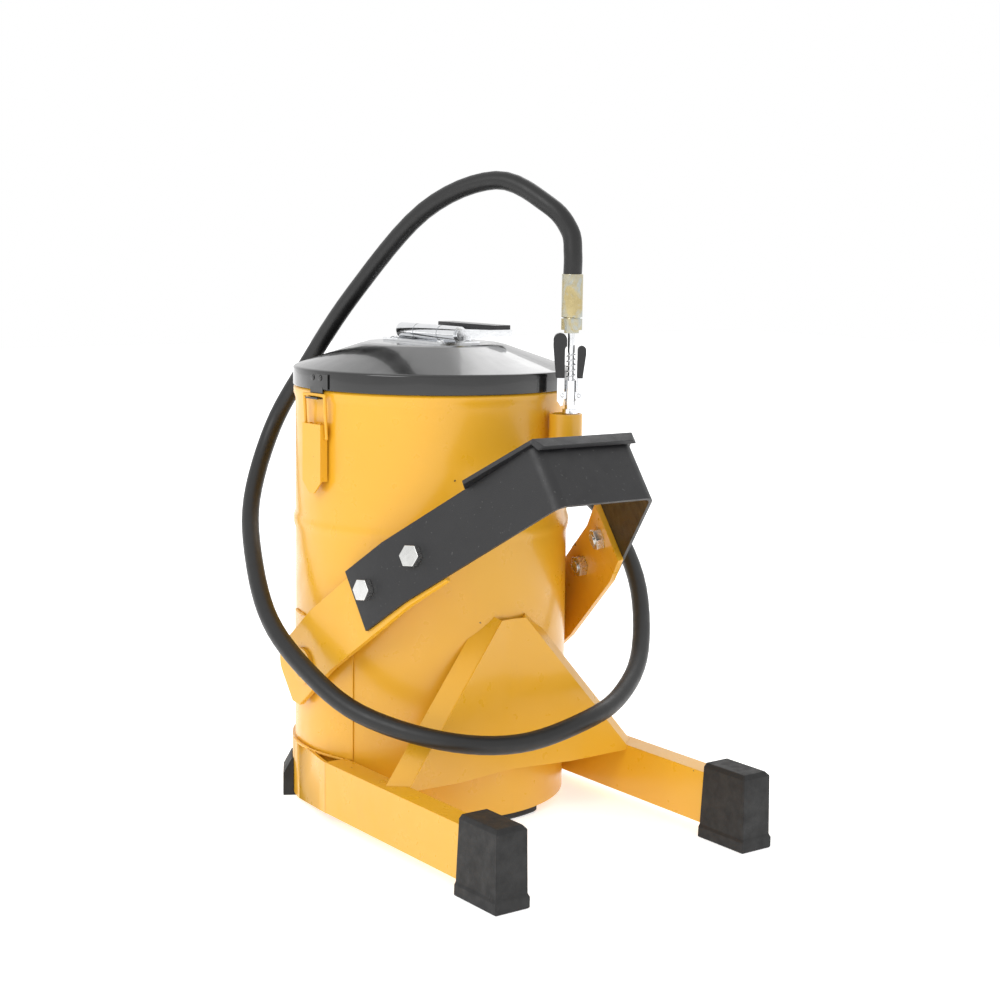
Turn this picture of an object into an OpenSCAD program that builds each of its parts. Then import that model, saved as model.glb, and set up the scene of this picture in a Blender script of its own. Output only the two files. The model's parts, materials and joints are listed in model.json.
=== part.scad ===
// Foot-operated grease pump: a grease drum on a welded stand, with a pedal that rocks a hollow
// shaft through the drum, a crank and plunger pump inside it, and a hose with a lever coupler.
// Lengths are in millimetres. The pedal is at -Y and the hose outlet at +Y.

/* [Drum] */
// Outside diameter of the drum
drum_d = 230; // [190:1:290]
// Height of the drum's rim above the floor
rim_z = 362; // [330:1:440]
// Height of the drum's bottom edge above the floor
drum_z = 6; // [5:1:12]
// Sheet thickness of the drum and the lid
sheet_t = 1.2; // [0.8:0.1:2]
// Height of the rolled swage above the floor
swage_z = 238; // [190:1:260]
// Radial step of the swage and of the bead under the lid
bead_step = 1.6; // [1:0.1:2.2]

/* [Lid] */
// Depth of the lid's skirt
skirt_h = 16; // [12:0.5:24]
// Rise of the lid from the skirt's shoulder to its flat top
lid_rise = 19.5; // [12:0.5:30]
// Radius of the lid's flat top
lid_top_r = 56; // [56:1:70]
// Thickness of the lid gasket
gasket_t = 3; // [2:0.5:5]

/* [Stand] */
// Width across the outer faces of the two rails
stand_w = 257.6; // [257:0.2:330]
// Width of a rail
rail_w = 20; // [16:1:26]
// Height of a rail
rail_h = 42.5; // [30:0.5:46]
// Wall of a rail
rail_t = 2; // [1.5:0.1:3]
// Height of a rail's underside above the floor
rail_z = 10; // [8:0.5:14]
// Distance from the drum's axis forward to the front feet's faces
foot_reach = 283.7; // [250:0.1:330]
// Distance from the drum's axis forward to the rails' rear ends
rail_back = 40; // [30:1:60]
// Wall of a rubber foot
foot_wall = 5.3; // [3:0.1:7]
// Length of a front foot
foot_len = 52; // [35:1:70]
// Height of the rear band
band_h = 49; // [40:1:70]
// Sheet thickness of the rear band and the front bracket
plate_t = 3; // [2:0.5:4]
// Height of the front bracket's top edge above the floor
bracket_top = 170; // [130:1:190]

/* [Pedal] */
// Height of the pivot shaft above the floor
pivot_z = 124; // [110:1:140]
// Upward tilt of the pedal at rest
pedal_tilt = 36.3; // [25:0.1:44]
// Travel of the pedal
pedal_travel = 30; // [20:1:32]
// Distance from the pivot to the front face of the pedal fork
fork_reach = 282; // [250:1:330]
// Width of the fork across its front corners
fork_w = 91; // [70:1:110]
// Width of the fork's strip
fork_h = 53; // [40:1:60]
// Sheet thickness of the fork and the tread
fork_t = 3; // [2:0.5:4]
// Thickness of the yellow arms
arm_t = 5; // [4:0.5:7]
// Width of an arm
arm_h = 54; // [48:1:60]
// Length of the tread along the pedal
tread_len = 64; // [50:1:110]
// Thickness of the tread
tread_t = 3.5; // [3:0.5:6]
// Overhang of the tread beyond the fork's legs
tread_over = 6; // [2:0.5:8]
// Thread diameter of the arm bolts
bolt_d = 10; // [8:1:12]

/* [Shaft and pump] */
// Outside diameter of the hollow pivot shaft
shaft_d = 30; // [24:0.5:34]
// Bore of the hollow pivot shaft
shaft_bore = 20; // [12:0.5:22]
// Length of the shaft beyond each arm
shaft_end = 3; // [2:0.5:12]
// Running clearance of the shaft and the plunger on the radius
fit = 0.05; // [0.02:0.01:0.09]
// Distance from the pivot shaft forward to the pump's axis
crank_len = 38; // [34:1:44]
// Diameter of the plunger
plunger_d = 16; // [12:0.5:20]
// Outside diameter of the pump cylinder
cylinder_d = 30; // [26:1:34]
// Height of the pump cylinder's top above the floor
cylinder_top = 70; // [64:1:74]
// Diameter of the crank pin
pin_d = 8; // [6:0.5:10]

/* [Holster and hose] */
// Outside diameter of the holster tube
holster_d = 26.9; // [24:0.1:34]
// Wall of the holster tube
holster_t = 2.2; // [1.5:0.1:2.6]
// Length of the holster tube
holster_len = 72; // [50:1:80]
// Outside diameter of the hose
hose_d = 15; // [12:0.5:17]

/* [Hidden] */
$fn = 96;

yellow = [0.95, 0.72, 0.16];
black = [0.16, 0.16, 0.17];
rubber = [0.09, 0.09, 0.09];
steel = [0.75, 0.76, 0.78];
zinc = [0.80, 0.72, 0.45];
bronze = [0.70, 0.50, 0.25];

drum_r = drum_d / 2;
skin_r = drum_r - sheet_t;
gap = 0.3;                          // clearance between pieces that move past each other

// The drum's axis is moved back so that the object's box is centred on the origin.
elbow_w = 18;
elbow_reach = 22;
back_y = drum_r + elbow_reach + elbow_w / 2;
axis_y = (foot_reach - back_y) / 2;
module placed() { translate([0, axis_y, 0]) children(); }
module both_sides() { children(); mirror([1, 0, 0]) children(); }
module along_x(x) { translate([x, 0, 0]) rotate([0, 90, 0]) children(); }
module along_y(y) { translate([0, y, 0]) rotate([-90, 0, 0]) children(); }
module ring(outer, inner, h) {
    difference() {
        cylinder(r = outer, h = h);
        translate([0, 0, -1]) cylinder(r = inner, h = h + 2);
    }
}
// A closed outline from a list of [radius, height] points and a wall inward of them.
function mirrored(pts) = [for (i = [len(pts) - 1 : -1 : 0]) [-pts[i].x, pts[i].y]];
function wall_outline(pts, t) = concat(pts,
    [for (i = [len(pts) - 1 : -1 : 0]) [pts[i][0] - t, pts[i][1]]]);
function arc_pts(r, a, b, n) = [for (i = [0 : n]) r * [cos(a + (b - a) * i / n), sin(a + (b - a) * i / n)]];

// ---- Tube swept along points: rings carried from point to point without twist ----
function unit(v) = v / norm(v);
function tangent(p, i) = unit(p[min(i + 1, len(p) - 1)] - p[max(i - 1, 0)]);
function normals(p, i, n) = i == len(p) ? [] :
    let (t = tangent(p, i), m = unit(n - (n * t) * t)) concat([m], normals(p, i + 1, m));
module swept_tube(p, d, sides, start_normal) {
    n = normals(p, 0, start_normal);
    last = len(p) - 1;
    points = [for (i = [0 : last], k = [0 : sides - 1])
        let (a = 360 * k / sides, b = cross(tangent(p, i), n[i]))
        p[i] + d / 2 * (cos(a) * n[i] + sin(a) * b)];
    walls = [for (i = [0 : last - 1], k = [0 : sides - 1])
        let (q = (k + 1) % sides, a = i * sides, b = a + sides) each
        [[a + k, b + k, a + q], [b + k, b + q, a + q]]];
    caps = [[for (k = [0 : sides - 1]) k], [for (k = [sides - 1 : -1 : 0]) last * sides + k]];
    polyhedron(points = points, faces = concat(walls, caps), convexity = 10);
}
function coil_pts(r, z0, z1, turns, steps) = [for (i = [0 : turns * steps])
    [r * cos(360 * i / steps), r * sin(360 * i / steps), z0 + (z1 - z0) * i / (turns * steps)]];

// ================= Drum =================
neck_step = 1.2;
bead_z = rim_z - 15;
housing_r = shaft_d / 2 + 4.5;
bush_r = shaft_d / 2 + 2.5;
thread_r = 7;
outlet_z = 278;
module drum_shell() {
    outline = [[drum_r, drum_z], [drum_r, swage_z - 8], [drum_r + bead_step, swage_z - 3],
        [drum_r + bead_step, swage_z + 3], [drum_r, swage_z + 8], [drum_r, bead_z - 7],
        [drum_r + bead_step, bead_z - 2], [drum_r + bead_step, bead_z + 2],
        [drum_r - neck_step, bead_z + 5], [drum_r - neck_step, rim_z]];
    color(yellow) placed() difference() {
        rotate_extrude() polygon(wall_outline(outline, sheet_t));
        translate([0, 0, pivot_z]) along_x(-drum_r - 5) cylinder(r = housing_r, h = drum_d + 10);
        translate([0, 0, outlet_z]) along_y(drum_r - 10) cylinder(r = thread_r, h = 20);
    }
}

floor_z = drum_z + 10;
module drum_floor() {
    color(yellow) placed() rotate_extrude() polygon([[0, floor_z], [skin_r - 2, floor_z],
        [skin_r - 2 * sheet_t, floor_z - 1.5], [skin_r - 2 * sheet_t, drum_z], [skin_r, drum_z],
        [skin_r, floor_z - 1], [skin_r - 2, floor_z + sheet_t], [0, floor_z + sheet_t]]);
}

pad_arc = 36;
module drum_pad() {
    color(rubber) placed() rotate([0, 0, -90 - pad_arc / 2]) rotate_extrude(angle = pad_arc)
        polygon([[drum_r - 25, 0], [drum_r - 3, 0], [drum_r - 1, 2], [drum_r - 1, drum_z],
            [drum_r - 25, drum_z]]);
}

// ================= Stand =================
rail_x = stand_w / 2 - rail_w / 2;
rail_top = rail_z + rail_h;
rail_front = foot_reach - foot_wall;
module rail() {
    color(yellow) placed() translate([rail_x - rail_w / 2, -rail_front, rail_z]) difference() {
        cube([rail_w, rail_front - rail_back, rail_h]);
        translate([rail_t, -1, rail_t])
            cube([rail_w - 2 * rail_t, rail_front - rail_back + 2, rail_h - 2 * rail_t]);
    }
}
module right_rail() { rail(); }
module left_rail() { mirror([1, 0, 0]) rail(); }

// The band leaves each rail's outer corner and closes onto the drum behind it.
band_z = 3;
band_join = 12;                     // angle ahead of the X axis where the band leaves the drum
band_in = drum_r + 0.1;
corner_r = norm([stand_w / 2, rail_back]);
corner_a = atan2(rail_back, stand_w / 2);
function band_r(a) = band_in + plate_t
    + (corner_r - band_in - plate_t) * pow((a + band_join) / (corner_a + band_join), 2);
band_angles = [for (i = [0 : 8]) -band_join + (corner_a + band_join) * i / 8];
module rear_band() {
    outer = [for (a = band_angles) band_r(a) * [cos(a), -sin(a)]];
    inner = [for (i = [8 : -1 : 0]) let (a = band_angles[i]) (band_r(a) - plate_t) * [cos(a), -sin(a)]];
    color(yellow) placed() translate([0, 0, band_z]) {
        rotate([0, 0, band_join]) rotate_extrude(angle = 180 - 2 * band_join)
            translate([band_in, 0]) square([plate_t, band_h]);
        both_sides() intersection() {
            linear_extrude(band_h) polygon(concat(outer, inner));
            rotate([90, 0, 0]) translate([0, 0, -drum_r]) linear_extrude(2 * drum_r)
                polygon([[0, 0], [band_in, 0], [stand_w / 2, rail_z - band_z], [stand_w, rail_z - band_z],
                    [stand_w, rail_top - band_z + 3], [stand_w / 2, rail_top - band_z + 3],
                    [band_in, band_h], [0, band_h]]);
        }
    }
}

// A folded sheet with its centre line on the drum and its ends on the rails, and a flange that
// is folded back along each sloping edge.
bracket_mid = drum_r + 0.5;
bracket_end = bracket_mid + 17;
bracket_top_w = 24;
bracket_low = 45;
flange_w = 18;
flange_fold = 56;
panel_end = rail_x - rail_w / 2;
panel_turn = atan2(bracket_end - bracket_mid, panel_end);
panel_len = norm([bracket_end - bracket_mid, panel_end]);
slope_run = panel_len - bracket_top_w / 2;
slope_fall = bracket_top - rail_top;
slope_a = atan2(slope_fall, slope_run);
module bracket_panel() {
    face = [[0, -bracket_mid], [panel_end, -bracket_end]];
    front = [for (p = face) p - [0, plate_t / cos(panel_turn)]];
    edge = [[panel_end, rail_top], [bracket_top_w / 2, bracket_top]];
    low = [[panel_end / 2, bracket_low], [panel_end, rail_top - 4]];
    intersection() {
        linear_extrude(bracket_top + 10) polygon(concat([face[0], face[1], front[1], front[0]],
            mirrored([face[1], front[1]])));
        rotate([90, 0, 0]) linear_extrude(2 * bracket_end)
            polygon(concat(low, edge, mirrored(concat(low, edge))));
    }
}
module bracket_flange() {
    translate([0, -bracket_mid, 0]) rotate([0, 0, -panel_turn])
        translate([bracket_top_w / 2, 0, bracket_top]) rotate([0, slope_a, 0])
        translate([0, 0.3 - plate_t, -0.5]) rotate([-flange_fold, 0, 0])
        cube([norm([slope_run, slope_fall]) + 20, plate_t, flange_w]);
}
module front_bracket() {
    color(yellow) placed() difference() {
        union() {
            bracket_panel();
            both_sides() bracket_flange();
        }
        translate([0, 0, bracket_low - 10]) cylinder(r = drum_r + 0.2, h = bracket_top);
        both_sides() translate([panel_end, -foot_reach, 0]) cube([rail_w * 3, foot_reach, rail_top]);
    }
}

foot_slant = 3.5;
foot_lip = 1.2;
foot_lip_h = 9;
foot_top = rail_top + foot_wall + 4;
module front_foot() {
    w = rail_w + 2 * foot_wall;
    side = [[foot_reach - 1, 0], [foot_reach - foot_len, 0], [foot_reach - foot_len + foot_slant, foot_top],
        [foot_reach - 5, foot_top], [foot_reach - 2, foot_top - 3], [foot_reach - foot_lip, foot_lip_h + 3],
        [foot_reach, foot_lip_h], [foot_reach, 1]];
    face = [[-w / 2 + 1, 0], [w / 2 - 1, 0], [w / 2, 1], [w / 2, foot_lip_h],
        [w / 2 - foot_lip, foot_lip_h + 2], [w / 2 - foot_lip - 0.5, foot_top - 3],
        [w / 2 - foot_lip - 3, foot_top], [-w / 2 + foot_lip + 3, foot_top],
        [-w / 2 + foot_lip + 0.5, foot_top - 3], [-w / 2 + foot_lip, foot_lip_h + 2],
        [-w / 2, foot_lip_h], [-w / 2, 1]];
    translate([rail_x, 0, 0]) difference() {
        intersection() {
            rotate([90, 0, 0]) translate([0, 0, foot_reach - foot_len - 5]) linear_extrude(foot_len + 10)
                polygon(face);
            rotate([90, 0, -90]) translate([0, 0, -w]) linear_extrude(2 * w) polygon(side);
        }
        translate([-rail_w / 2, -rail_front, rail_z]) cube([rail_w, foot_len + 5, rail_h]);
    }
}
module front_feet() { color(rubber) placed() both_sides() front_foot(); }

rear_foot_a = 30;                   // angle behind the X axis
rear_foot_w = 34;
rear_foot_t = 8;
module rear_feet() {
    grip_r = band_in + plate_t;
    color(rubber) placed() both_sides() rotate([0, 0, rear_foot_a]) difference() {
        rotate([90, 0, 0]) translate([0, 0, -rear_foot_w / 2]) linear_extrude(rear_foot_w)
            polygon([[grip_r - 8, 0], [grip_r + rear_foot_t, 0], [grip_r + rear_foot_t, 19],
                [grip_r + 1, 32], [grip_r - 8, 32]]);
        translate([0, 0, band_z]) cylinder(r = grip_r + 0.05, h = band_h);
    }
}

// ================= Pivot =================
arm_in = drum_r + 5;                // inner face of an arm at the pivot
arm_out = arm_in + arm_t;
housing_end = arm_in - 0.7;
housing_len = 23;
seal_t = 4;
module pivot_frame() { placed() translate([0, 0, pivot_z]) children(); }
// Each housing is a short tube through a saddle plate that is welded round the drum's side.
saddle_a = 23.6;
saddle_h = pivot_z + 38 - band_z - band_h;
module shaft_housings() {
    color(yellow) placed() both_sides() {
        translate([0, 0, pivot_z]) along_x(housing_end - housing_len)
            ring(housing_r, bush_r, housing_len);
        difference() {
            translate([0, 0, band_z + band_h]) rotate([0, 0, -saddle_a])
                rotate_extrude(angle = 2 * saddle_a) translate([band_in, 0]) square([sheet_t, saddle_h]);
            translate([0, 0, pivot_z]) along_x(drum_r - 20) cylinder(r = housing_r - 0.5, h = 40);
        }
    }
}
module shaft_bushes() {
    color(bronze) pivot_frame() both_sides() along_x(housing_end - housing_len)
        ring(bush_r, shaft_d / 2 + fit, housing_len - seal_t - 1);
}
module shaft_seals() {
    color(rubber) pivot_frame() both_sides() along_x(housing_end - seal_t - 1)
        ring(bush_r, shaft_d / 2 + fit, seal_t);
}
module pivot_shaft() {
    color(yellow) pivot_frame() difference() {
        along_x(-arm_out - shaft_end) ring(shaft_d / 2, shaft_bore / 2, 2 * (arm_out + shaft_end));
        translate([0, 0, shaft_bore / 2 - 1]) cylinder(r = screw_r, h = shaft_d);
    }
}

// The crank is a hub with two cheeks, each with a slot for the pin. It starts half the travel up.
crank_up = pedal_travel / 2;
cheek_in = 8;
cheek_t = 5;
hub_r = shaft_d / 2 + 6;
cheek_half = hub_r * 0.6;
slot_r = pin_d / 2 + gap;
slot_play = 3;
screw_r = 3;
hub_w = 2 * (cheek_in + cheek_t);
module cheek_outline() {
    far = crank_len / cos(crank_up);
    difference() {
        union() {
            circle(r = hub_r);
            translate([0, -cheek_half]) square([far + slot_play, 2 * cheek_half]);
            translate([far + slot_play, 0]) circle(r = cheek_half);
        }
        translate([far - slot_play, -slot_r]) square([2 * slot_play, 2 * slot_r]);
        for (s = [-1, 1]) translate([far + s * slot_play, 0]) circle(r = slot_r);
    }
}
module crank() {
    color(steel) pivot_frame() difference() {
        rotate([-crank_up, 0, 0]) {
            along_x(-cheek_in) cylinder(r = hub_r, h = 2 * cheek_in);
            for (x = [-hub_w / 2, cheek_in]) translate([x, 0, 0])
                mirror([0, 1, 0]) rotate([90, 0, 90]) linear_extrude(cheek_t) cheek_outline();
        }
        along_x(-hub_w) cylinder(r = shaft_d / 2, h = 2 * hub_w);
        cylinder(r = screw_r, h = hub_r + 5);
    }
}
module crank_screw() {
    color(steel) pivot_frame() translate([0, 0, shaft_bore / 2 - 1]) {
        cylinder(r = screw_r, h = hub_r - shaft_bore / 2 + 1);
        translate([0, 0, hub_r - shaft_bore / 2 + 1]) cylinder(r = 6, h = 4.5, $fn = 6);
    }
}

// ================= Pump =================
pin_z = crank_len * tan(crank_up);  // pin height above the pivot at rest
stroke = 2 * pin_z;
base_z = floor_z + sheet_t;
base_h = 22;
bore_floor = base_z + 10;
bolt_in = 22;
out_z = base_z + 11;
pump_clear = 5;                     // plunger end above the inlet holes at rest
inlet_z = cylinder_top - 25;
plunger_low = inlet_z + 3 + pump_clear - 1;
collar_r = cylinder_d / 2 - 2.5;
collar_drop = cheek_half / cos(crank_up) + collar_r * tan(crank_up) + 0.8;
module at_pump() { placed() translate([0, -crank_len, 0]) children(); }
module pump_cylinder() {
    color(steel) at_pump() difference() {
        union() {
            translate([-30, -30, base_z]) cube([60, 62, base_h]);
            translate([0, 0, base_z]) cylinder(d = cylinder_d, h = cylinder_top - base_z);
        }
        translate([0, 0, bore_floor]) cylinder(r = plunger_d / 2 + fit, h = cylinder_top);
        for (a = [0, 90]) rotate([0, 0, a]) translate([0, 0, inlet_z]) along_x(-cylinder_d)
            cylinder(r = 3, h = 2 * cylinder_d);
        for (x = [-bolt_in, bolt_in], y = [-bolt_in, bolt_in]) translate([x, y, base_z - 1])
            cylinder(r = 4, h = base_h + 2);
        translate([0, 0, out_z]) along_y(0) cylinder(r = 3, h = 40);
        translate([0, 0, out_z]) along_y(14) cylinder(r = 6, h = 30);
    }
}
module pump_bolts() {
    color(steel) at_pump() for (x = [-bolt_in, bolt_in], y = [-bolt_in, bolt_in])
        translate([x, y, base_z]) {
            cylinder(r = 4, h = base_h);
            translate([0, 0, base_h]) cylinder(r = 7.5, h = 5.3, $fn = 6);
        }
}
module valve_ball() {
    color(steel) at_pump() translate([0, 14 + 3.4, out_z]) sphere(r = 4.5);
}
module valve_spring() {
    color(steel) at_pump() translate([0, 0, out_z]) along_y(0)
        swept_tube(coil_pts(4, 22, 31, 5, 12), 1, 6, [1, 0, 0]);
}
union_y = 32;
module outlet_union() {
    color(zinc) at_pump() translate([0, 0, out_z]) difference() {
        along_y(union_y) cylinder(r = 9, h = 9, $fn = 6);
        along_y(union_y - 1) cylinder(r = 4, h = 12);
    }
}
tube_r = 5;
tube_turn = 24;
top_turn = 12;
tube_back = drum_r - 34;
module tube_elbow(turn, start) {
    rotate([90, 0, 90]) rotate([0, 0, start]) rotate_extrude(angle = 90) translate([turn, 0]) circle(r = tube_r);
}
module outlet_tube() {
    start = union_y + 9 - crank_len;
    color(steel) placed() {
        translate([0, 0, out_z]) along_y(start) cylinder(r = tube_r, h = tube_back - tube_turn - start);
        translate([0, tube_back - tube_turn, out_z + tube_turn]) tube_elbow(tube_turn, -90);
        translate([0, tube_back, out_z + tube_turn])
            cylinder(r = tube_r, h = outlet_z - out_z - tube_turn - top_turn);
        translate([0, tube_back + top_turn, outlet_z - top_turn]) tube_elbow(top_turn, 90);
        translate([0, 0, outlet_z]) along_y(tube_back + top_turn) cylinder(r = tube_r, h = 8);
    }
}
module outlet_bulkhead() {
    color(zinc) placed() translate([0, 0, outlet_z]) {
        along_y(tube_back + top_turn + 8)
            cylinder(r = thread_r, h = drum_r - tube_back - top_turn);
        along_y(skin_r - 1.5 - 7) cylinder(r = 12, h = 7, $fn = 6);
        along_y(drum_r + 0.5) cylinder(r = 12, h = 7, $fn = 6);
    }
}
elbow_y = drum_r + elbow_reach;
module outlet_elbow() {
    color(zinc) placed() translate([0, elbow_y, outlet_z]) {
        translate([-elbow_w / 2, -elbow_w / 2, -elbow_w / 2]) cube(elbow_w);
        along_y(drum_r + 8 - elbow_y) cylinder(r = 8, h = elbow_reach - 8);
        along_x(0) cylinder(r = 6, h = elbow_w / 2 + 6);
    }
}

module plunger() {
    top = pivot_z + pin_z + pin_d;
    eye_w = 2 * (cheek_in - 0.5);
    color(steel) at_pump() difference() {
        union() {
            translate([0, 0, plunger_low]) cylinder(d = plunger_d, h = top - pin_d - 12 - plunger_low);
            intersection() {
                translate([-eye_w / 2, -9, top - pin_d - 12]) cube([eye_w, 18, pin_d + 12]);
                union() {
                    translate([-20, -9, top - pin_d - 12]) cube([40, 18, 12]);
                    translate([0, 0, top - pin_d]) along_x(-20) cylinder(r = 9, h = 40);
                }
            }
        }
        translate([0, 0, top - pin_d]) along_x(-20) cylinder(r = pin_d / 2, h = 40);
    }
}
module crank_pin() {
    color(steel) at_pump() translate([0, 0, pivot_z + pin_z]) along_x(-hub_w / 2 - 3)
        cylinder(d = pin_d, h = hub_w + 6);
}
collar_z = pivot_z + pin_z - collar_drop - 3;
module spring_collar() {
    color(steel) at_pump() translate([0, 0, collar_z]) ring(collar_r, plunger_d / 2, 3);
}
module return_spring() {
    wire = 2.2;
    color(steel) at_pump() swept_tube(
        coil_pts(plunger_d / 2 + 2.4, cylinder_top + wire / 2, collar_z - wire / 2, 6, 16), wire, 6,
        [1, 0, 0]);
}

// ================= Pedal =================
// In the pedal's own frame x is across, -y runs forward from the pivot and z is square to both.
module pedal_frame() { pivot_frame() rotate([-pedal_tilt, 0, 0]) children(); }
bend_x = 103.5;                     // half-gap of the fork at the bend between its bolts
bend_u = 138;
heel_u = 90.5;                      // rear end of the fork
wide_u = 36;                        // where the arms turn parallel to the sides of the drum
corner_bend = 9;
face_in = fork_w / 2 - fork_t * 0.7;
face_u = fork_reach - fork_t;
heel_x = bend_x + (arm_out - bend_x) * (bend_u - heel_u) / (bend_u - wide_u);
// Points of the interface between the fork and the arms, from the front corner back to the pivot.
function run_x(u) = u >= bend_u ? face_in + (bend_x - face_in) * (face_u - u) / (face_u - bend_u)
    : u >= wide_u ? bend_x + (arm_out - bend_x) * (bend_u - u) / (bend_u - wide_u) : arm_out;
leg_a = atan2(bend_x - face_in, face_u - bend_u);
heel_a = atan2(arm_out - bend_x, bend_u - wide_u);
function shifted(x, u, a, t) = [x + t * cos(a), -u - t * sin(a)];
mid_a = (leg_a + heel_a) / 2;
corner_half = (90 - leg_a) / 2;
function corner_arc(r) = let (c = [face_in - corner_bend * tan(corner_half), -face_u + corner_bend])
    [for (i = [0 : 6]) let (a = (90 - leg_a) * i / 6) c + r * [sin(a), -cos(a)]];
fork_low = -14;                     // lower edge of the fork's strip from the pivot's level
fork_top = fork_low + fork_h;
module fork_plan(t) {
    half = concat(corner_arc(corner_bend + t),
        [shifted(bend_x, bend_u, mid_a, t), shifted(heel_x, heel_u, heel_a, t)],
        [[heel_x, -heel_u], [bend_x, -bend_u]], [for (i = [6 : -1 : 0]) corner_arc(corner_bend)[i]]);
    polygon(concat(half, mirrored(half)));
}
bolt_u = [158.5, 105.7];
bolt_v = 14.3;
module at_bolt(i) {
    a = i == 0 ? leg_a : heel_a;
    translate([run_x(bolt_u[i]), -bolt_u[i], bolt_v]) rotate([0, 0, -a]) rotate([0, 90, 0])
        children();
}
module pedal_fork() {
    color(black) pedal_frame() difference() {
        translate([0, 0, fork_low]) linear_extrude(fork_h) fork_plan(fork_t);
        both_sides() for (i = [0, 1]) at_bolt(i) translate([0, 0, -20]) cylinder(d = bolt_d, h = 40);
    }
}
lip_len = 10;
lip_down = 68;
tread_cut = 8;
lip_mitre = 6.5;
module pedal_tread() {
    front = fork_reach + tread_t * tan(lip_down / 2) + 0.1;
    back = fork_reach - tread_len;
    near = fork_w / 2 + 2.5;
    wide = run_x(back) + fork_t + tread_over;
    tip = [-front, tread_t] - lip_len * [cos(lip_down), sin(lip_down)];
    half = [[near - lip_mitre, tip.x - 1], [near, -front], [wide, -back - tread_cut],
        [wide - lip_mitre, -back + 1]];
    color(black) pedal_frame() translate([0, 0, fork_top + 0.05]) intersection() {
        rotate([90, 0, 90]) translate([0, 0, -2 * wide]) linear_extrude(4 * wide)
            polygon([[-back, 0], [-back, tread_t], [-front, tread_t], tip,
                tip + tread_t * [sin(lip_down), -cos(lip_down)],
                [tread_t * tan(lip_down / 2) - front, 0]]);
        translate([0, 0, -lip_len]) linear_extrude(2 * lip_len) polygon(concat(half, mirrored(half)));
    }
}

holster_a = -68;
holster_top = 334;
holster_r = drum_r + bead_step + holster_d / 2;
holster = holster_r * [cos(holster_a), sin(holster_a)];
module holster_tube() {
    color(yellow) placed() translate([holster.x, holster.y, holster_top - holster_len])
        union() {
            ring(holster_d / 2, holster_d / 2 - holster_t, holster_len);
            for (z = [12, holster_len - 26]) rotate([0, 0, holster_a]) difference() {
                translate([-holster_d / 2 - 3, -2, z]) cube([5, 4, 12]);
                translate([0, 0, z - 1]) cylinder(r = holster_d / 2 - holster_t / 2, h = 14);
                translate([-holster_r, 0, z - 1]) cylinder(r = drum_r + 0.1, h = 14);
            }
        }
}

arm_front = 176;
arm_back = 36;
module arm_plan() {
    t = -arm_t;
    tip = [run_x(arm_front), -arm_front];
    polygon([tip, [bend_x, -bend_u], [arm_out, -wide_u], [arm_out, arm_back + 5],
        [arm_out + t, arm_back + 5], shifted(arm_out, wide_u, heel_a / 2, t),
        shifted(bend_x, bend_u, mid_a, t), shifted(tip.x, arm_front, leg_a, t)]);
}
arm_slope = 2.1;
arm_low = -22.5;
arm_corner = 18;
arm_cut = 8;
module arm_profile() {
    rotate(-arm_slope) translate([0, arm_low]) {
        translate([arm_back - arm_corner, arm_h - arm_corner]) circle(r = arm_corner);
        polygon([[-arm_front - 20, 0], [arm_back - arm_cut, 0], [arm_back, arm_cut],
            [arm_back, arm_h - arm_corner], [arm_back - arm_corner, arm_h - arm_corner],
            [arm_back - arm_corner, arm_h], [-arm_front - 20, arm_h]]);
    }
}
module arm() {
    color(yellow) pedal_frame() difference() {
        intersection() {
            translate([0, 0, -60]) linear_extrude(160) arm_plan();
            rotate([90, 0, 90]) linear_extrude(200) arm_profile();
        }
        along_x(0) cylinder(d = shaft_d, h = 200);
        for (i = [0, 1]) at_bolt(i) translate([0, 0, -20]) cylinder(d = bolt_d, h = 40);
    }
}
module right_arm() { arm(); }
module left_arm() { mirror([1, 0, 0]) arm(); }
head_af = 1.6 * bolt_d;
head_r = head_af / 2 / cos(30);
nut_h = 0.7 * bolt_d;
module arm_bolts() {
    color(steel) pedal_frame() both_sides() for (i = [0, 1]) at_bolt(i) {
        translate([0, 0, -arm_t - nut_h - 1.5]) cylinder(d = bolt_d, h = arm_t + nut_h + 1.5 + fork_t);
        translate([0, 0, fork_t]) cylinder(r = head_r, h = 6.4, $fn = 6);
    }
}
module arm_nuts() {
    color(steel) pedal_frame() both_sides() for (i = [0, 1]) at_bolt(i)
        translate([0, 0, -arm_t - nut_h]) difference() {
            cylinder(r = head_r, h = nut_h, $fn = 6);
            translate([0, 0, -1]) cylinder(d = bolt_d, h = nut_h + 2);
        }
}

// ================= Lid =================
lid_r = drum_r + 1.9;
skirt_z = bead_z + 4;
shoulder_z = skirt_z + skirt_h;
top_z = shoulder_z + lid_rise;
function lid_outer() = [[lid_r, skirt_z], [lid_r, shoulder_z - 2], [lid_r - 0.7, shoulder_z - 0.6],
    [lid_r - 2.4, shoulder_z + 0.3], [lid_top_r + 6, top_z - 1.4], [lid_top_r, top_z]];
function lid_under(r) = shoulder_z + 0.3 - sheet_t
    + (lid_rise - 1.7) * (lid_r - 2.4 - r) / (lid_r - 2.4 - lid_top_r - 6);
module lid() {
    under = [[lid_top_r - 0.4, top_z - sheet_t], [lid_top_r + 5.6, top_z - 1.4 - sheet_t],
        [lid_r - 2.8, shoulder_z + 0.3 - sheet_t], [lid_r - sheet_t, shoulder_z - 2.4], [lid_r - sheet_t, skirt_z]];
    color(black) placed() rotate_extrude()
        polygon(concat([[0, top_z - sheet_t]], under, lid_outer(), [[0, top_z]]));
}
module lid_gasket() {
    out = drum_r - neck_step;
    in = out - 5;
    low = rim_z + 0.1;
    color(rubber) placed() rotate_extrude() polygon([[in, low], [out, low],
        [out, lid_under(out) - 0.4], [in, lid_under(in) - 0.4]]);
}

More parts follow.
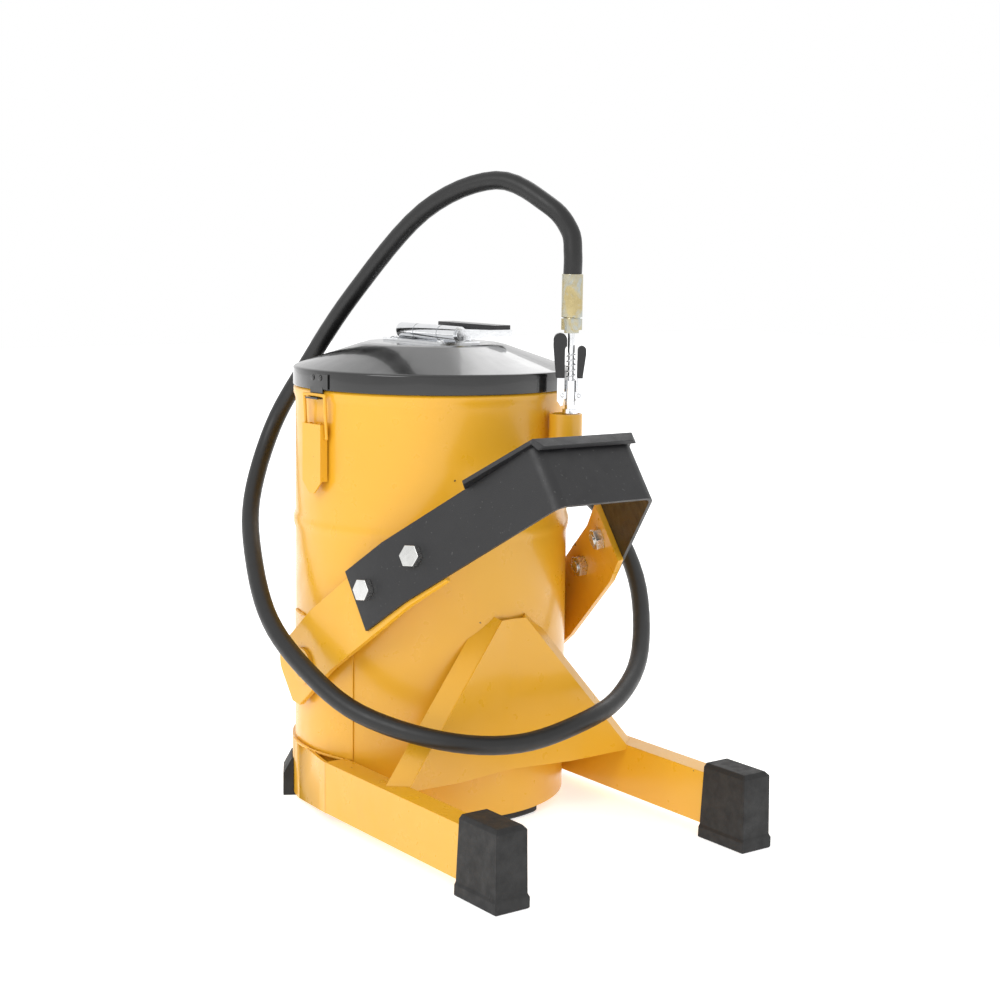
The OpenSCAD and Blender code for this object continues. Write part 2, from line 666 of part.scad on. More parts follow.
// ================= Latches =================
latch_a = 4;                        // the latches sit this far ahead of the X axis
latch_pin_r = 1.5;
latch_z = 322;
latch_x = drum_r + 3.6;
bail_z = 313;
lever_half = 12.7;
lever_t = 1.5;
ear_half = 8;
wire_r = 1.4;
bail_half = lever_half + 0.2 + wire_r;
hook_z = skirt_z - 5.5;
bar_z = hook_z + wire_r + 0.3;
bar_x = lid_r + 3.2;
module at_latch() { placed() rotate([0, 0, -latch_a]) children(); }
module left_side() { mirror([1, 0, 0]) children(); }
module latch_bracket() {
    spread = 2 * asin(ear_half / drum_r);
    at_latch() {
        translate([0, 0, latch_z - 22]) rotate([0, 0, -spread / 2]) rotate_extrude(angle = spread)
            translate([drum_r + 0.05, 0]) square([1.5, 23.5]);
        for (y = [-ear_half + 1.5, ear_half]) translate([0, y, 0]) rotate([90, 0, 0]) linear_extrude(1.5)
            difference() {
                union() {
                    translate([drum_r + 0.3, latch_z - 6]) square([latch_x - drum_r - 0.3, 7.5]);
                    translate([latch_x, latch_z]) circle(r = 2.7);
                }
                translate([latch_x, latch_z]) circle(r = latch_pin_r);
            }
    }
}
module latch_brackets() { color(yellow) { latch_bracket(); left_side() latch_bracket(); } }
module latch_pin() {
    at_latch() translate([latch_x, -lever_half, latch_z]) rotate([-90, 0, 0])
        cylinder(r = latch_pin_r, h = 2 * lever_half);
}
module latch_pins() { color(yellow) { latch_pin(); left_side() latch_pin(); } }
lever_low = 268;
module latch_lever() {
    plate_x = latch_x + 3;
    at_latch() difference() {
        union() {
            translate([plate_x, 0, 0]) rotate([90, 0, 90]) linear_extrude(lever_t) difference() {
                translate([-lever_half, lever_low]) square([2 * lever_half, latch_z + 2 - lever_low]);
                for (s = [-1, 1]) translate([s * lever_half, lever_low]) rotate(45) square(13, center = true);
            }
            for (y = [-lever_half, lever_half - lever_t]) translate([latch_x - 2.4, y, lever_low + 10])
                cube([plate_x - latch_x + 2.4 + lever_t, lever_t, latch_z + 2 - lever_low - 10]);
        }
        for (p = [[latch_x, latch_z, fit], [latch_x - 0.4, bail_z, 0.1 + wire_r - latch_pin_r]])
            translate([p[0], -lever_half - 1, p[1]]) rotate([-90, 0, 0])
                cylinder(r = latch_pin_r + p[2], h = 2 * lever_half + 2);
    }
}
module right_latch_lever() { color(yellow) latch_lever(); }
module left_latch_lever() { color(yellow) left_side() latch_lever(); }
module latch_bail() {
    foot = latch_x - 0.4;
    lean = atan2(bar_x - foot, bar_z - bail_z);
    at_latch() for (s = [-1, 1]) {
        translate([foot, s * bail_half, bail_z]) {
            sphere(r = wire_r);
            rotate([0, lean, 0]) cylinder(r = wire_r, h = norm([bar_x - foot, bar_z - bail_z]));
            rotate([s * 90, 0, 0]) cylinder(r = wire_r, h = 3.2);
        }
        translate([bar_x, s * bail_half, bar_z]) sphere(r = wire_r);
        translate([bar_x, 0, bar_z]) rotate([-s * 90, 0, 0]) cylinder(r = wire_r, h = bail_half);
    }
}
module right_latch_bail() { color(yellow) latch_bail(); }
module left_latch_bail() { color(yellow) left_side() latch_bail(); }
keeper_half = 8.5;
rivet_z = shoulder_z - 6;
rivet_y = 5;
module latch_keeper() {
    in = lid_r + 0.05;
    at_latch() difference() {
        union() {
            difference() {
                translate([0, 0, skirt_z + 1]) rotate([0, 0, -7]) rotate_extrude(angle = 14)
                    translate([in, 0]) square([1.2, skirt_h - 4]);
                translate([in - 2, -20, shoulder_z - 3]) rotate([20, 0, 0]) cube([6, 20, 10]);
                translate([in - 2, 0, shoulder_z - 3]) rotate([-20, 0, 0]) cube([6, 20, 10]);
            }
            translate([in + 0.15, -keeper_half, hook_z - 1.4]) cube([1, 2 * keeper_half, skirt_z + 4 - hook_z]);
            translate([in + 0.15, -keeper_half, hook_z - 1.4]) cube([6, 2 * keeper_half, 1.4]);
        }
        for (y = [-rivet_y, rivet_y]) rotate([0, 0, atan2(y, in)]) translate([in - 2, 0, rivet_z]) rotate([0, 90, 0])
            cylinder(r = 1.5, h = 6);
    }
}
module latch_keepers() { color(black) { latch_keeper(); left_side() latch_keeper(); } }
module keeper_rivet_pair() {
    at_latch() for (y = [-rivet_y, rivet_y]) rotate([0, 0, atan2(y, lid_r)]) translate([lid_r + 0.05, 0, rivet_z])
        rotate([0, 90, 0]) {
            cylinder(r = 1.5, h = 1.3);
            translate([0, 0, 1.3]) cylinder(r1 = 2.8, r2 = 1.8, h = 0.9);
        }
}
module keeper_rivets() { color(black) { keeper_rivet_pair(); left_side() keeper_rivet_pair(); } }

// ================= Lid handle =================
grip_x = 44;
base_w = 40;
base_t = 2;
barrel_r = 6.8;
base_y = [-40, 46.5];
base_len = base_y[1] - base_y[0];
barrel_z = top_z + base_t + barrel_r - 1;
handle_pin_r = 3;
bail_t = 2.5;
module at_barrel() { placed() translate([0, 0, barrel_z]) children(); }
module handle_base() {
    color(steel) placed() difference() {
        union() {
            translate([-base_w / 2, base_y[0], top_z + 0.05]) cube([base_w, base_len, base_t]);
            translate([0, 0, barrel_z]) along_y(base_y[0]) cylinder(r = barrel_r, h = base_len);
        }
        translate([-base_w / 2, base_y[0] - 1, top_z - 9.95]) cube([base_w, base_len + 2, 10]);
        for (y = [base_y[0] + 25, base_y[1] - 26]) translate([0, 0, barrel_z]) along_y(y)
            ring(barrel_r + 1, barrel_r - 0.8, 1);
        translate([0, 0, barrel_z]) along_y(base_y[0] - 1) cylinder(r = handle_pin_r + fit, h = 11);
        translate([0, 0, barrel_z]) along_y(base_y[1] - 10) cylinder(r = handle_pin_r + fit, h = 11);
        for (x = [-14, 14], y = [base_y[0] + 8, base_y[1] - 8]) translate([x, y, top_z - 1])
            cylinder(r = 2, h = 5);
    }
}
module handle_rivets() {
    color(steel) placed() for (x = [-14, 14], y = [base_y[0] + 8, base_y[1] - 8])
        translate([x, y, top_z + 0.05]) {
            cylinder(r = 2, h = base_t);
            translate([0, 0, base_t]) cylinder(r1 = 3.6, r2 = 2.2, h = 1.4);
        }
}
strap_z = 1.5;                      // strap's underside above the hinge axis
module handle_bail() {
    arm_ys = [base_y[0] - gap - bail_t, base_y[1] + gap];
    color(steel) at_barrel() {
        for (i = [0, 1]) {
            translate([0, arm_ys[i] + bail_t, 0]) rotate([90, 0, 0]) linear_extrude(bail_t) union() {
                circle(r = 5);
                polygon([[-2, -4.5], [grip_x + 6, -2], [grip_x + 7, 0], [grip_x + 7, strap_z + 2],
                    [grip_x - 8, strap_z + 2], [grip_x - 16, 3.6], [0, 4.9]]);
            }
            along_y(i == 0 ? arm_ys[0] + bail_t - 0.5 : base_y[1] - 8) cylinder(r = handle_pin_r, h = 8.5);
        }
        translate([grip_x - 6, arm_ys[0] + 0.1, strap_z]) cube([12, arm_ys[1] - arm_ys[0] + bail_t - 0.2, 2]);
    }
}
module handle_grip() {
    half = 8;
    color(rubber) at_barrel() translate([grip_x, 0, strap_z + 1]) difference() {
        along_y(base_y[0] + 0.8) linear_extrude(base_len - 1.6) intersection() {
            union() {
                translate([-half, -4.5]) square([2 * half, 8]);
                translate([0, 1]) circle(r = half + 1);
            }
            translate([-half, -4.5]) square([2 * half, 9.5]);
        }
        translate([-6, base_y[0], -1]) cube([12, base_len, 2]);
    }
}

// ================= Coupler and hose =================
// The coupler stands in the holster with its levers in one upright plane.
coupler_turn = -36;
coupler_at = [holster.x + 2, holster.y - 3];
nose_z = holster_top - 16;
module at_coupler() { placed() translate([coupler_at.x, coupler_at.y, 0]) rotate([0, 0, coupler_turn]) children(); }
body_r = 4.5;
rod_r = 2.4;
socket_r = 3.35;
lever_z = 349;
lever_pin_r = 1.5;
ear_x = 6.5;
rod_z = 361;
adapter_z = 383;
neck_z = 399;
nut_z = 401.5;
ferrule_z = 411.5;
hose_z = 446;
module coupler_body() {
    color(steel) at_coupler() difference() {
        union() {
            translate([0, 0, nose_z]) cylinder(r1 = 5.2, r2 = 6.4, h = 3);
            translate([0, 0, nose_z + 3]) cylinder(r = 6.4, h = 17);
            translate([0, 0, nose_z + 20]) cylinder(r = body_r, h = rod_z - nose_z - 20);
            translate([0, 0, rod_z]) cylinder(r = rod_r, h = adapter_z - rod_z);
            translate([0, 0, adapter_z]) cylinder(r = 2.9, h = neck_z - adapter_z);
            translate([-ear_x - 2.6, -2.5, lever_z - 3]) cube([2 * ear_x + 5.2, 5, 6]);
        }
        translate([0, 0, nose_z - 1]) cylinder(r = socket_r, h = 9);
        for (x = [-ear_x, ear_x]) translate([x, -4, lever_z]) rotate([-90, 0, 0])
            cylinder(r = lever_pin_r, h = 8);
    }
}
module coupler_pins() {
    color(steel) at_coupler() for (x = [-ear_x, ear_x]) translate([x, -4.4, lever_z])
        rotate([-90, 0, 0]) cylinder(r = lever_pin_r, h = 8.8);
}
module coupler_spring() {
    wire = 1.2;
    color(steel) at_coupler() swept_tube(
        coil_pts(rod_r + 1, rod_z + wire / 2, adapter_z - wire / 2, 5, 12), wire, 6, [1, 0, 0]);
}
// A lever is two cheeks round the body's ear, joined by a web on the outside.
module lever_steel(top) {
    difference() {
        for (y = [-4.2, 2.7]) translate([0, y, 0]) mirror([0, 1, 0]) rotate([90, 0, 0])
            linear_extrude(1.5) polygon([[6, lever_z - 8], [8, lever_z - 9], [11, lever_z - 4],
                [11, top], [5.2, top], [5.2, lever_z - 2]]);
        translate([ear_x, -6, lever_z]) rotate([-90, 0, 0]) cylinder(r = lever_pin_r + fit, h = 12);
    }
    translate([9.6, -4.2, lever_z - 5]) cube([1.4, 8.4, top - lever_z + 5]);
}
module lever_grip(inner, outer, low, top, thick) {
    r = (outer - inner) / 2;
    difference() {
        translate([0, thick / 2, 0]) rotate([90, 0, 0]) linear_extrude(thick) union() {
            polygon([[5.0, low], [outer - 2.5, low], [outer, top - 2 * r], [inner, top - 1.4 * r],
                [5.0, top - 2.4 * r]]);
            translate([inner + r, top - r]) circle(r = r);
            translate([inner, top - 2 * r]) square([2 * r, r]);
        }
        translate([-1, -thick, low - 1]) cube([1, 2 * thick, 60]);
    }
}
lever_top = 363;
module coupler_left_lever() { color(steel) at_coupler() mirror([1, 0, 0]) lever_steel(lever_top); }
module coupler_right_lever() { color(steel) at_coupler() lever_steel(lever_top); }
module coupler_left_grip() {
    color(rubber) at_coupler() mirror([1, 0, 0]) lever_grip(3.4, 14.4, lever_top, 399, 9);
}
module coupler_right_grip() {
    color(rubber) at_coupler() lever_grip(5.0, 12, lever_top, 389, 9);
}
module gun_end_nut() {
    color(zinc) at_coupler() translate([0, 0, neck_z]) {
        cylinder(r = 6, h = nut_z - neck_z);
        translate([0, 0, nut_z - neck_z]) cylinder(r = 8.4, h = 9, $fn = 6);
        translate([0, 0, nut_z - neck_z + 9]) cylinder(r = 6.8, h = ferrule_z - nut_z - 9);
    }
}
module gun_end_ferrule() {
    color(zinc) at_coupler() translate([0, 0, ferrule_z]) cylinder(r = hose_d / 2 + 1, h = hose_z - ferrule_z);
}
nut_x = elbow_w / 2 + 6;
pump_hose_x = nut_x + 43;
module pump_end_nut() {
    color(zinc) placed() translate([0, elbow_y, outlet_z]) along_x(nut_x) {
        cylinder(r = 9, h = 9, $fn = 6);
        translate([0, 0, 9]) cylinder(r = 6.8, h = 2);
    }
}
module pump_end_ferrule() {
    color(zinc) placed() translate([0, elbow_y, outlet_z]) along_x(nut_x + 11)
        cylinder(r = hose_d / 2 + 1, h = 32);
}

// The hose's route, from the pump outlet round the right side, under the front, round the left
// side and over the lid to the coupler.
hose_start = [pump_hose_x, elbow_y, outlet_z];
hose_end = [coupler_at.x, coupler_at.y, hose_z];
hose_points = [hose_start + [18, 0, 0], [100, 130, 278], [135, 105, 275], [170, 50, 260], [180, -10, 230],
    [170, -70, 180], [130, -125, 130], [80, -160, 105], [25, -180, 95], [-35, -175, 85],
    [-90, -150, 90], [-130, -95, 105], [-145, -40, 130], [-145, 20, 160], [-130, 75, 200],
    [-105, 125, 245], [-70, 150, 305], [-50, 125, 360], [-35, 70, 425], [-10, 0, 495],
    [20, -60, 520], [40, -105, 500], [50, -120, 480], hose_end + [0, 0, 16]];
// The hose is straight in each ferrule and curves through its points, each span leaving and arriving along its neighbours' chord.
span_steps = 5;
function span(a, b, c, d, t) = 0.5 * (2 * b + (c - a) * t + (2 * a - 5 * b + 4 * c - d) * t * t
    + (3 * b - a - 3 * c + d) * t * t * t);
function curve(p) = concat([for (i = [0 : len(p) - 2], k = [0 : span_steps - 1])
    span(p[max(i - 1, 0)], p[i], p[i + 1], p[min(i + 2, len(p) - 1)], k / span_steps)], [p[len(p) - 1]]);
module hose() {
    color(rubber) placed()
        swept_tube(concat([hose_start], curve(hose_points), [hose_end]), hose_d, 12, [0, 0, 1]);
}

drum_shell();
drum_floor();
drum_pad();
left_rail();
right_rail();
rear_band();
front_bracket();
front_feet();
rear_feet();
holster_tube();
shaft_housings();
shaft_bushes();
shaft_seals();
latch_brackets();
latch_pins();
lid();
lid_gasket();
latch_keepers();
keeper_rivets();
handle_base();
handle_rivets();
handle_bail();
handle_grip();
left_latch_lever();
right_latch_lever();
left_latch_bail();
right_latch_bail();
pedal_fork();
pedal_tread();
left_arm();
right_arm();
arm_bolts();
arm_nuts();
pivot_shaft();
crank();
crank_screw();
plunger();
crank_pin();
spring_collar();
return_spring();
pump_cylinder();
pump_bolts();
valve_ball();
valve_spring();
outlet_union();
outlet_tube();
outlet_bulkhead();
outlet_elbow();
hose();
pump_end_nut();
pump_end_ferrule();
gun_end_ferrule();
gun_end_nut();
coupler_body();
coupler_spring();
coupler_pins();
coupler_left_lever();
coupler_left_grip();
coupler_right_lever();
coupler_right_grip();
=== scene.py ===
import json
import math
import bpy
import bmesh
from mathutils import Matrix, Vector, noise

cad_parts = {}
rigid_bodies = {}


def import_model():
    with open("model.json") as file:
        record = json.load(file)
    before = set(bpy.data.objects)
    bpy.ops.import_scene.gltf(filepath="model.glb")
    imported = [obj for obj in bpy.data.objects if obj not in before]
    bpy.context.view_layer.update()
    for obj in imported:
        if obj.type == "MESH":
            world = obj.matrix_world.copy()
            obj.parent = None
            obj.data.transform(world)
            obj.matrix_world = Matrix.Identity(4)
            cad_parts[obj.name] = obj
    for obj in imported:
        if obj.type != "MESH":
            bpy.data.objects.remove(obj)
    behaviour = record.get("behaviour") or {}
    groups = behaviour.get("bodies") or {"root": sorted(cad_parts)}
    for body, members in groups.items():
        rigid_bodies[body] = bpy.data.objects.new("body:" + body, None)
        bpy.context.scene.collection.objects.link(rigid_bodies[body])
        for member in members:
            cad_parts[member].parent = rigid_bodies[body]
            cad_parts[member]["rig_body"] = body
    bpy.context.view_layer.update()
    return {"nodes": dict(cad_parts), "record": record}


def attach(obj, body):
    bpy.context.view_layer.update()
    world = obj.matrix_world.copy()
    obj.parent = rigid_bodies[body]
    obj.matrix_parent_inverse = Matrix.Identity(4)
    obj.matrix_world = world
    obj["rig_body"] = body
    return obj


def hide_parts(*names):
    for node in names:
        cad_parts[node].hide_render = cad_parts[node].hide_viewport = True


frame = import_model()
NODES = frame["nodes"]
AXIS_Y = 0.06885            # the drum's axis in the row frame
DRUM_R = 0.115
MM = 0.001


# ---------------------------------------------------------------- camera
def make_camera():
    data = bpy.data.cameras.new("camera")
    cam = bpy.data.objects.new("camera", data)
    bpy.context.scene.collection.objects.link(cam)
    data.lens = 65.85
    data.sensor_width = 36
    data.clip_start = 0.05
    data.clip_end = 50
    forward = Vector((0.58335, 0.79981, -0.14144)).normalized()
    right = Vector((0.80793, -0.58927, 0)).normalized()
    up = right.cross(forward)
    roll = math.radians(0.7641)
    level, upright = right, up
    right = level * math.cos(roll) + upright * math.sin(roll)
    up = upright * math.cos(roll) - level * math.sin(roll)
    turn = Matrix((right, up, -forward)).transposed().to_4x4()
    cam.matrix_world = Matrix.Translation((-0.86137, -1.27978 + AXIS_Y, 0.47314)) @ turn
    bpy.context.scene.camera = cam


make_camera()


# ---------------------------------------------------------------- materials
class Nodes:
    """Builds a node material round one Principled shader."""

    def __init__(self, name, **fixed):
        self.mat = bpy.data.materials.new(name)
        self.mat.use_nodes = True
        self.tree = self.mat.node_tree
        self.shader = self.tree.nodes["Principled BSDF"]
        for key, value in fixed.items():
            self.shader.inputs[key.replace("_", " ")].default_value = value
        self.coords = self.add("ShaderNodeTexCoord").outputs["Object"]

    def add(self, kind, **values):
        node = self.tree.nodes.new(kind)
        for key, value in values.items():
            setattr(node, key, value)
        return node

    def link(self, a, b):
        self.tree.links.new(a, b)

    def noise(self, scale, detail=3.0, rough=0.55, stretch=(1, 1, 1), distortion=0.0):
        mapping = self.add("ShaderNodeMapping")
        mapping.inputs["Scale"].default_value = stretch
        self.link(self.coords, mapping.inputs["Vector"])
        node = self.add("ShaderNodeTexNoise")
        node.inputs["Scale"].default_value = scale
        node.inputs["Detail"].default_value = detail
        node.inputs["Roughness"].default_value = rough
        node.inputs["Distortion"].default_value = distortion
        self.link(mapping.outputs["Vector"], node.inputs["Vector"])
        return node.outputs["Fac"]

    def ramp(self, fac, stops):
        node = self.add("ShaderNodeValToRGB")
        elements = node.color_ramp.elements
        while len(elements) < len(stops):
            elements.new(0.5)
        for element, (place, value) in zip(elements, stops):
            element.position = place
            element.color = (*value, 1) if hasattr(value, "__len__") else (value, value, value, 1)
        self.link(fac, node.inputs["Fac"])
        return node.outputs["Color"]

    def mix(self, fac, a, b):
        node = self.add("ShaderNodeMix", data_type="RGBA")
        self.link(fac, node.inputs["Factor"])
        for value, socket in ((a, node.inputs[6]), (b, node.inputs[7])):
            if hasattr(value, "is_linked"):
                self.link(value, socket)
            else:
                socket.default_value = (*value, 1)
        return node.outputs[2]

    def bump(self, height, strength, distance, under=None):
        node = self.add("ShaderNodeBump")
        node.inputs["Strength"].default_value = strength
        node.inputs["Distance"].default_value = distance
        self.link(height, node.inputs["Height"])
        if under is not None:
            self.link(under, node.inputs["Normal"])
        return node.outputs["Normal"]

    def done(self, color=None, roughness=None, normal=None):
        for value, key in ((color, "Base Color"), (roughness, "Roughness"), (normal, "Normal")):
            if value is not None:
                self.link(value, self.shader.inputs[key])
        return self.mat


def enamel():
    """Warm yellow stoved enamel: a little orange peel, grime and small dark chips."""
    n = Nodes("yellow_enamel", Coat_Weight=0.25, Coat_Roughness=0.12)
    tone = n.mix(n.noise(9, 2), (0.72, 0.36, 0.016), (0.78, 0.41, 0.022))
    grime = n.ramp(n.noise(38, 5, 0.7, (1, 1, 0.35)), [(0.60, 0.0), (0.82, 0.35)])
    tone = n.mix(grime, tone, (0.60, 0.28, 0.03))
    chips = n.ramp(n.noise(130, 2, 0.4), [(0.785, 0.0), (0.800, 1.0)])
    tone = n.mix(chips, tone, (0.10, 0.055, 0.02))
    rough = n.ramp(n.noise(60, 4), [(0.3, 0.25), (0.75, 0.42)])
    peel = n.bump(n.noise(700, 2), 0.10, 0.0004)
    return n.done(tone, rough, n.bump(n.noise(14, 2), 0.10, 0.004, peel))


def powder_coat():
    """Fine textured black powder coat with rubbed, slightly lighter patches."""
    n = Nodes("black_powder_coat")
    tone = n.mix(n.noise(26, 4), (0.008, 0.008, 0.009), (0.015, 0.015, 0.016))
    specks = n.ramp(n.noise(420, 2, 0.4), [(0.70, 0.0), (0.76, 1.0)])
    tone = n.mix(specks, tone, (0.05, 0.05, 0.05))
    rough = n.ramp(n.noise(90, 3), [(0.3, 0.36), (0.7, 0.52)])
    grain = n.bump(n.noise(1500, 2), 0.35, 0.00035)
    return n.done(tone, rough, n.bump(n.noise(60, 3), 0.08, 0.001, grain))


def gloss_black():
    """Smooth gloss enamel with a soft waviness and a trace of dust."""
    n = Nodes("gloss_black", Coat_Weight=0.6, Coat_Roughness=0.06)
    dust = n.ramp(n.noise(240, 4, 0.7), [(0.62, 0.0), (0.9, 0.3)])
    tone = n.mix(dust, (0.004, 0.004, 0.004), (0.03, 0.03, 0.03))
    rough = n.ramp(n.noise(45, 4), [(0.3, 0.15), (0.8, 0.28)])
    return n.done(tone, rough, n.bump(n.noise(22, 2), 0.06, 0.003))


def moulded(name, dark, light, rough_low, rough_high, grain, grain_strength, scuff=0.0):
    """A dark moulded rubber or plastic with a fine grain, mottling and pale scuffs."""
    n = Nodes(name)
    tone = n.mix(n.noise(40, 4), dark, light)
    if scuff:
        worn = n.ramp(n.noise(75, 6, 0.75, (1, 1, 0.5), 0.6), [(0.62, 0.0), (0.80, scuff)])
        tone = n.mix(worn, tone, (0.16, 0.155, 0.15))
    rough = n.ramp(n.noise(110, 4), [(0.3, rough_low), (0.75, rough_high)])
    fine = n.bump(n.noise(grain, 3), grain_strength, 0.0004)
    return n.done(tone, rough, n.bump(n.noise(120, 4), 0.10, 0.0008, fine))


def plated(name, dark, light, rough_low, rough_high, tint=None, scale=120):
    """Plated metal: small changes of tone and roughness, faint brushing and tiny dents."""
    n = Nodes(name, Metallic=1.0)
    tone = n.mix(n.noise(scale, 4, 0.6, (1, 1, 1), 0.4), dark, light)
    if tint:
        patches = n.ramp(n.noise(scale * 0.6, 3, 0.6, (1, 1, 1), 1.2), [(0.45, 0.0), (0.62, 1.0)])
        tone = n.mix(patches, tone, tint)
    rough = n.ramp(n.noise(300, 4), [(0.3, rough_low), (0.75, rough_high)])
    brushed = n.bump(n.noise(1300, 2, 0.5, (1, 1, 0.08)), 0.05, 0.0003)
    return n.done(tone, rough, n.bump(n.noise(160, 3), 0.05, 0.0006, brushed))


def weld_metal():
    """Enamel over a weld bead: the yellow with deeper bump."""
    n = Nodes("weld_enamel", Coat_Weight=0.2)
    tone = n.mix(n.noise(220, 4), (0.70, 0.33, 0.02), (0.88, 0.46, 0.04))
    rough = n.ramp(n.noise(300, 3), [(0.3, 0.3), (0.7, 0.55)])
    return n.done(tone, rough, n.bump(n.noise(500, 3), 0.5, 0.0008))


MATERIALS = {
    "yellow_enamel": enamel(),
    "black_powder_coat": powder_coat(),
    "gloss_black": gloss_black(),
    "black_rubber": moulded("black_rubber", (0.005, 0.005, 0.005), (0.012, 0.012, 0.012),
                            0.55, 0.8, 900, 0.35, 0.22),
    "hose_rubber": moulded("hose_rubber", (0.004, 0.004, 0.004), (0.009, 0.009, 0.009),
                           0.36, 0.5, 1400, 0.18, 0.05),
    "black_grip": moulded("black_grip", (0.008, 0.008, 0.009), (0.016, 0.016, 0.017), 0.16, 0.3, 700, 0.06),
    "chrome": plated("chrome", (0.70, 0.71, 0.73), (0.86, 0.87, 0.88), 0.06, 0.16),
    "zinc_steel": plated("zinc_steel", (0.58, 0.58, 0.57), (0.80, 0.80, 0.78), 0.20, 0.38),
    "yellow_zinc": plated("yellow_zinc", (0.40, 0.31, 0.14), (0.66, 0.56, 0.30),
                          0.14, 0.30, (0.46, 0.48, 0.44), 90),
    "bronze": plated("bronze", (0.50, 0.30, 0.12), (0.66, 0.44, 0.20), 0.25, 0.4),
}
WELD = weld_metal()
SLOTS = {part["node"]: part["material_slot"] for part in frame["record"]["subparts"]}


# ---------------------------------------------------------------- pieces
def add_piece(name, data, body, slot, *nodes, material=None):
    piece = bpy.data.objects.new(name, data)
    bpy.context.scene.collection.objects.link(piece)
    data.materials.clear()
    data.materials.append(material or MATERIALS[slot])
    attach(piece, body)
    if nodes:
        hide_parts(*nodes)
    return piece


def shade(mesh, angle=35):
    for face in mesh.polygons:
        face.use_smooth = True
    mesh.set_sharp_from_angle(angle=math.radians(angle))


def mesh_from(name, verts, faces, angle=35):
    mesh = bpy.data.meshes.new(name)
    mesh.from_pydata([Vector(v) for v in verts], [], faces)
    bm = bmesh.new()
    bm.from_mesh(mesh)
    bmesh.ops.recalc_face_normals(bm, faces=bm.faces)
    bm.to_mesh(mesh)
    bm.free()
    shade(mesh, angle)
    return mesh


def baked(mesh, name, width, segments, angle=30):
    """The mesh with its edges rounded and its flat faces shaded flat."""
    temp = bpy.data.objects.new(name + "_temp", mesh)
    bpy.context.scene.collection.objects.link(temp)
    bevel = temp.modifiers.new("bevel", "BEVEL")
    bevel.width, bevel.segments = width, segments
    bevel.limit_method, bevel.angle_limit = "ANGLE", math.radians(angle)
    bevel.use_clamp_overlap = True
    shade(mesh, 180)
    temp.modifiers.new("normals", "WEIGHTED_NORMAL").keep_sharp = True
    graph = bpy.context.evaluated_depsgraph_get()
    out = bpy.data.meshes.new_from_object(temp.evaluated_get(graph))
    bpy.data.objects.remove(temp)
    out.name = name
    return out


def refined(node, width=0.5, segments=2, angle=30):
    """A CAD node's shape with rounded edges."""
    name = node + "_finish"
    mesh = NODES[node].data.copy()
    bm = bmesh.new()
    bm.from_mesh(mesh)
    bmesh.ops.remove_doubles(bm, verts=bm.verts, dist=2e-6)
    bmesh.ops.dissolve_limit(bm, angle_limit=math.radians(0.8), verts=bm.verts, edges=bm.edges)
    bmesh.ops.recalc_face_normals(bm, faces=bm.faces)
    bm.to_mesh(mesh)
    bm.free()
    out = baked(mesh, name, width * MM, segments, angle)
    return add_piece(name, out, NODES[node]["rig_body"], SLOTS[node], node)


for node in sorted(NODES):
    if node != "hose":
        refined(node)


def place(point):
    return Vector((point[0] * MM, point[1] * MM + AXIS_Y, point[2] * MM))


# ---------------------------------------------------------------- welds
def weld_bead(name, points, radius, closed=False, ripple=0.18, sides=8):
    """A rippled bead swept along points that are given in the drum's own frame, in mm."""
    path = [place(p) for p in points]
    count = len(path)
    verts, faces = [], []
    for i, at in enumerate(path):
        ahead = path[(i + 1) % count] if closed else path[min(i + 1, count - 1)]
        behind = path[i - 1] if closed else path[max(i - 1, 0)]
        along = (ahead - behind).normalized()
        side = along.orthogonal().normalized()
        taper = 1 if closed else min(1, 0.35 + min(i, count - 1 - i) * 0.4)
        r = radius * MM * taper * (1 + ripple * math.sin(i * 2.3) + 0.25 * noise.noise(at * 300))
        for k in range(sides):
            turn = Matrix.Rotation(2 * math.pi * k / sides, 3, along)
            verts.append(at + turn @ side * r)
    rings = count if closed else count - 1
    for i in range(rings):
        for k in range(sides):
            a, b, n, m = i * sides, (i + 1) % count * sides, k, (k + 1) % sides
            faces.append((a + n, b + n, b + m, a + m))
    if not closed:
        faces.append(tuple(range(sides)))
        faces.append(tuple((count - 1) * sides + k for k in range(sides)))
    return mesh_from(name, verts, faces, 60)


def arc(radius, z, start, end, steps):
    turns = [math.radians(start + (end - start) * i / steps) for i in range(steps + 1)]
    return [(radius * math.cos(t), radius * math.sin(t), z) for t in turns]


def make_welds():
    skin = DRUM_R / MM
    band_top, plate_top = 52, 162
    for side, turn in (("left", 180), ("right", 0)):
        lines = {"plate_top": arc(skin + 1, plate_top, turn - 22, turn - 8, 14),
                 "band_top": arc(skin + 3.6, band_top, turn - 20, turn + 20, 34)}
        for name, points in lines.items():
            piece = side + "_" + name + "_weld"
            add_piece(piece, weld_bead(piece, points, 1.3), "drum", "yellow_enamel", material=WELD)


make_welds()


# ---------------------------------------------------------------- hose
ROUTE = [(58, 137, 278), (76, 137, 278), (100, 130, 278), (135, 105, 275), (170, 50, 260), (180, -10, 230),
         (170, -70, 180), (130, -125, 130), (80, -160, 105), (25, -180, 95), (-35, -175, 85),
         (-90, -150, 90), (-130, -95, 105), (-145, -40, 130), (-145, 20, 160), (-130, 75, 200),
         (-105, 125, 245), (-70, 150, 305), (-50, 125, 360), (-35, 70, 425), (-10, 0, 495),
         (20, -60, 520), (40, -105, 500), (50, -120, 480), (50.717, -123.581, 462), (50.717, -123.581, 446)]


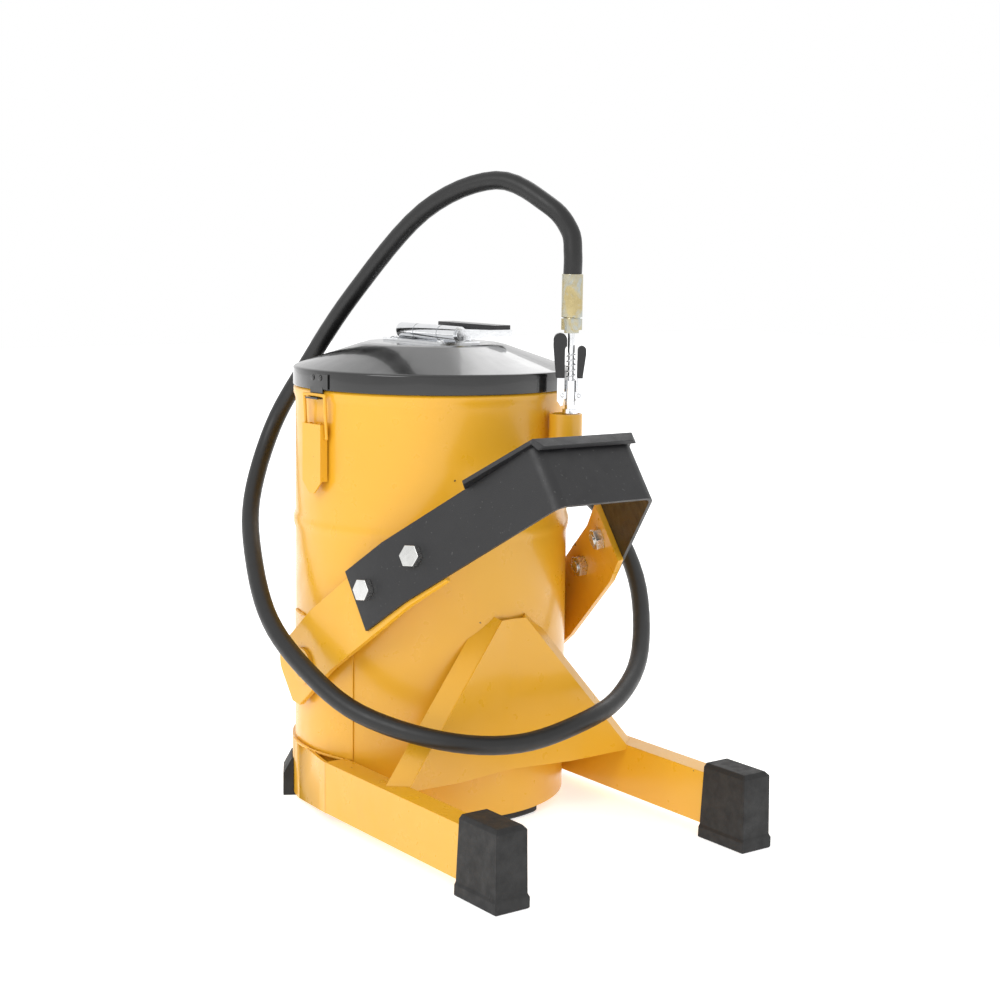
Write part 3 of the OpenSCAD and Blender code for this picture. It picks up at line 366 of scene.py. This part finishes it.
def make_hose():
    data = bpy.data.curves.new("hose_line", "CURVE")
    data.dimensions = "3D"
    data.bevel_depth, data.bevel_resolution, data.resolution_u = 0.0075, 8, 6
    data.use_fill_caps = True
    line = data.splines.new("BEZIER")
    line.bezier_points.add(len(ROUTE) - 1)
    last = len(ROUTE) - 1
    for i, knot in enumerate(line.bezier_points):
        here, before, after = place(ROUTE[i]), place(ROUTE[max(i - 1, 0)]), place(ROUTE[min(i + 1, last)])
        knot.handle_left_type = knot.handle_right_type = "FREE"
        knot.co = here
        knot.handle_left = here - ((here if i >= last - 1 else after) - before) / 6
        knot.handle_right = here + (after - (here if i <= 1 else before)) / 6
    hose = add_piece("hose_line", data, "drum", "hose_rubber", "hose")


make_hose()


# ---------------------------------------------------------------- floor and light
def make_stage():
    mesh = bpy.data.meshes.new("floor")
    mesh.from_pydata([(-6, -6, 0), (6, -6, 0), (6, 6, 0), (-6, 6, 0)], [], [(0, 1, 2, 3)])
    floor = bpy.data.objects.new("floor", mesh)
    bpy.context.scene.collection.objects.link(floor)
    n = Nodes("floor", Roughness=0.9)
    pale = n.mix(n.noise(3, 2), (0.90, 0.90, 0.90), (0.93, 0.93, 0.93))
    n.link(pale, n.shader.inputs["Emission Color"])
    n.shader.inputs["Emission Strength"].default_value = 0.60
    mesh.materials.append(n.done(pale))
    world = bpy.data.worlds.new("studio")
    world.use_nodes = True
    world.node_tree.nodes["Background"].inputs["Color"].default_value = (1, 1, 1, 1)
    world.node_tree.nodes["Background"].inputs["Strength"].default_value = 1.0
    bpy.context.scene.world = world
    aim = Vector((0, AXIS_Y, 0.25))
    for name, at, size, power in (("key", (-2.4, -0.6, 1.9), 1.4, 22), ("rim", (1.8, 1.2, 1.8), 1.2, 8)):
        data = bpy.data.lights.new(name, "AREA")
        data.shape, data.size, data.energy = "SQUARE", size, power
        light = bpy.data.objects.new(name, data)
        light.location = at
        light.rotation_euler = (aim - Vector(at)).to_track_quat("-Z", "Y").to_euler()
        bpy.context.scene.collection.objects.link(light)
    bpy.context.scene.view_settings.view_transform = "Standard"


make_stage()
